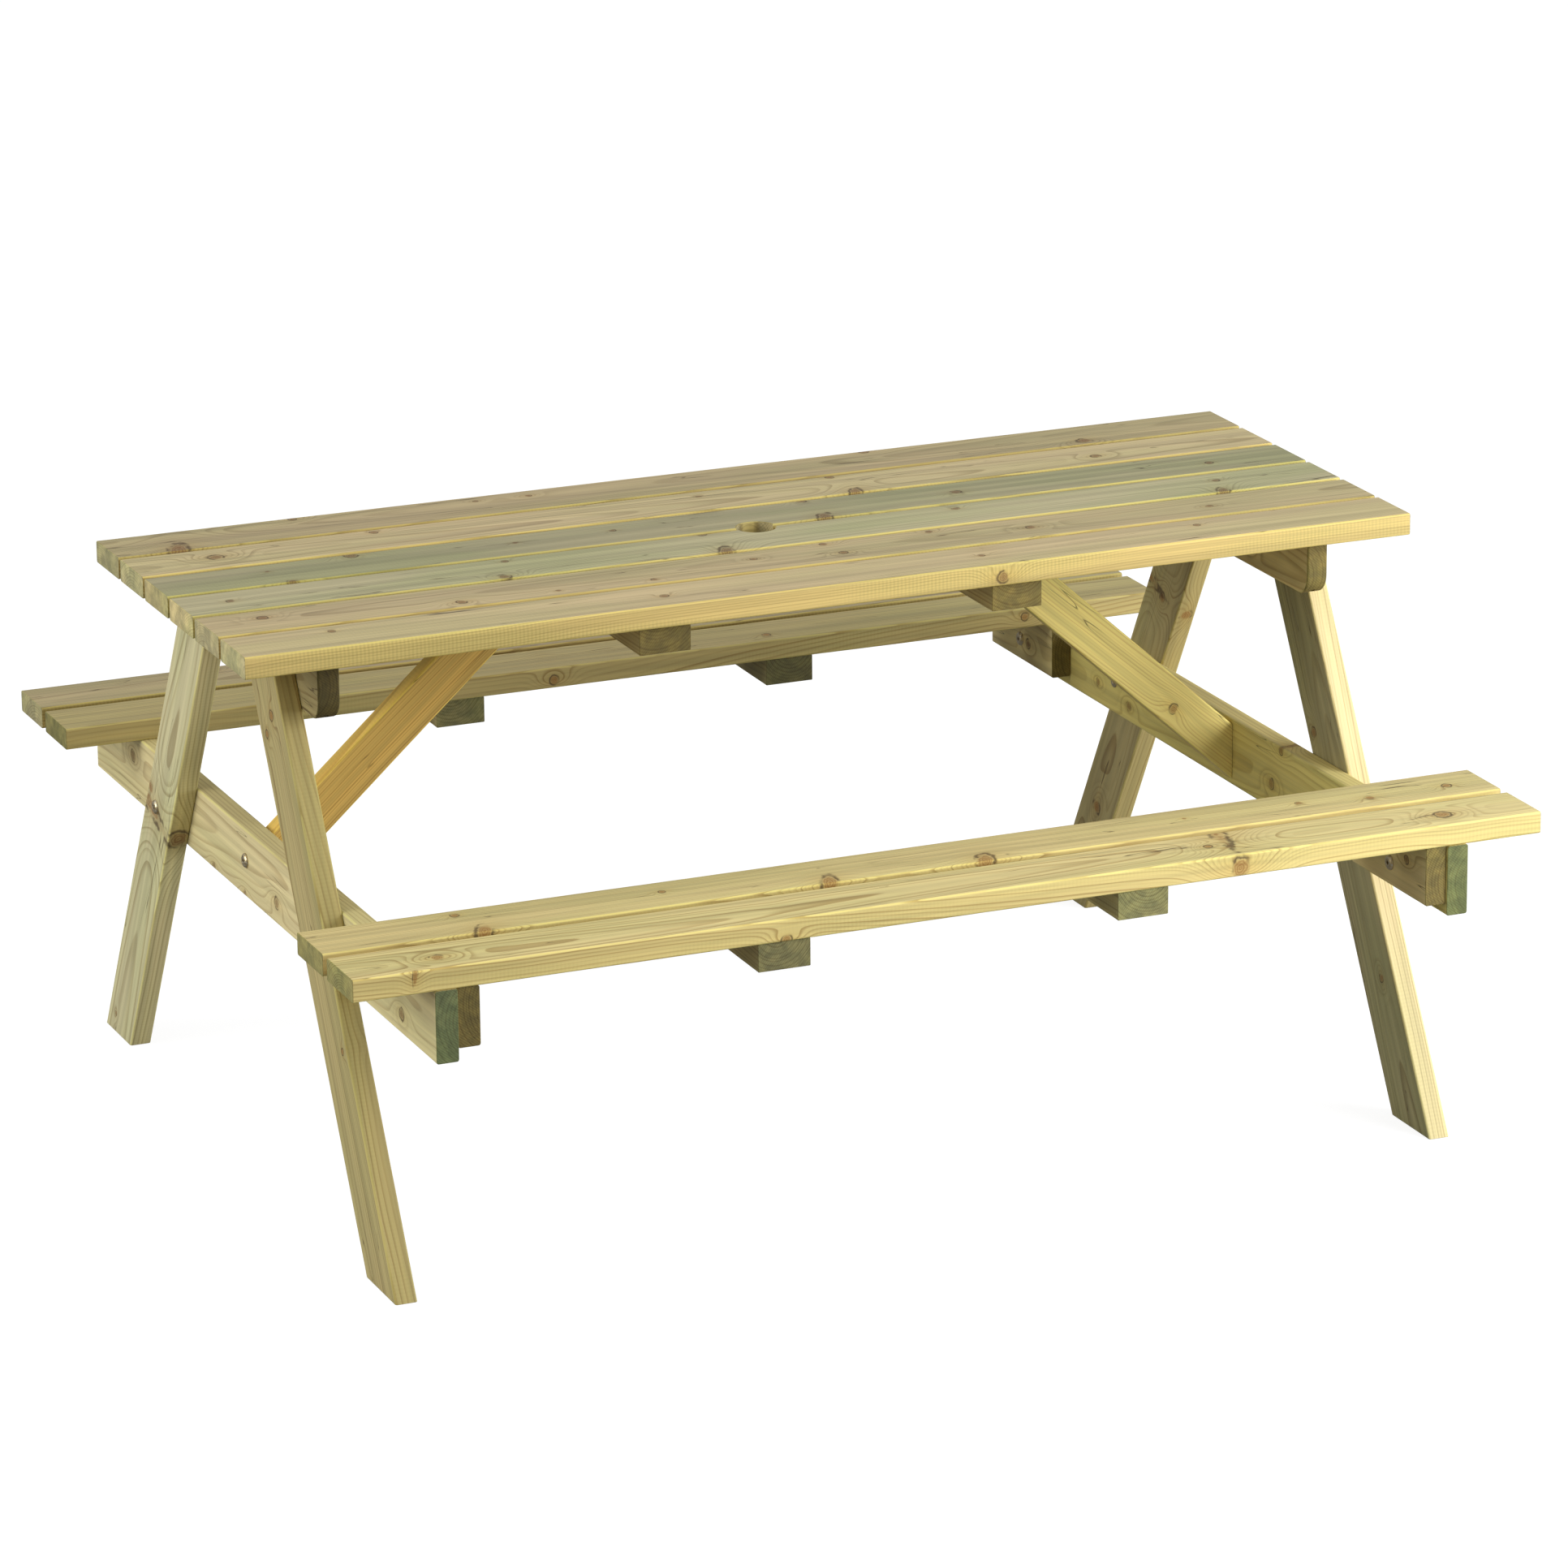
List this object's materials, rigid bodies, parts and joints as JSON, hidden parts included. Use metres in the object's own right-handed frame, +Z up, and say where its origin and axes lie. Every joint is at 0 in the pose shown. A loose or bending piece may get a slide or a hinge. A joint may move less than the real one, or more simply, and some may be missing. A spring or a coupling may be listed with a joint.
{
  "type": "picnic table",
  "caption": "Wooden picnic table with two fixed bench seats on leaning A-frame legs, diagonal braces and a central parasol hole in the slatted top.",
  "frame": {"origin": "on the ground, under the centre of the parasol hole, at the middle of the table's length and width", "axes": "+X along the tabletop and the seats, +Y across the table towards the back seat, +Z up"},
  "size_m": [1.54, 1.274, 0.73],
  "materials": {
    "pine_tabletop": "planed and pressure treated, dry and matt, grey-green tint",
    "pine_seats": "planed and pressure treated, dry and matt, yellow-green tint",
    "pine_frame": "planed and pressure treated, dry and matt, green end grain",
    "zinc_steel": "yellow passivated zinc plate, satin"
  },
  "bodies": {
    "root": {"bearer_bolts": "zinc_steel", "bearer_left": "pine_frame", "bearer_nuts": "zinc_steel", "bearer_right": "pine_frame", "brace_bolts": "zinc_steel", "brace_left": "pine_frame", "brace_right": "pine_frame", "brace_screws": "zinc_steel", "cleat_bolts": "zinc_steel", "crossbar_bolts": "zinc_steel", "crossbar_left": "pine_frame", "crossbar_nuts": "zinc_steel", "crossbar_right": "pine_frame", "leg_back_left": "pine_frame", "leg_back_right": "pine_frame", "leg_front_left": "pine_frame", "leg_front_right": "pine_frame", "seat_back_inner": "pine_seats", "seat_back_outer": "pine_seats", "seat_batten_back_left": "pine_frame", "seat_batten_back_right": "pine_frame", "seat_batten_front_left": "pine_frame", "seat_batten_front_right": "pine_frame", "seat_cleat_back_left": "pine_frame", "seat_cleat_back_right": "pine_frame", "seat_cleat_front_left": "pine_frame", "seat_cleat_front_right": "pine_frame", "seat_front_inner": "pine_seats", "seat_front_outer": "pine_seats", "seat_screws": "zinc_steel", "table_batten_left": "pine_frame", "table_batten_right": "pine_frame", "table_plank_1": "pine_tabletop", "table_plank_2": "pine_tabletop", "table_plank_3": "pine_tabletop", "table_plank_4": "pine_tabletop", "table_plank_5": "pine_tabletop", "table_plank_6": "pine_tabletop", "tabletop_screws": "zinc_steel"}
  },
  "joints": []
}
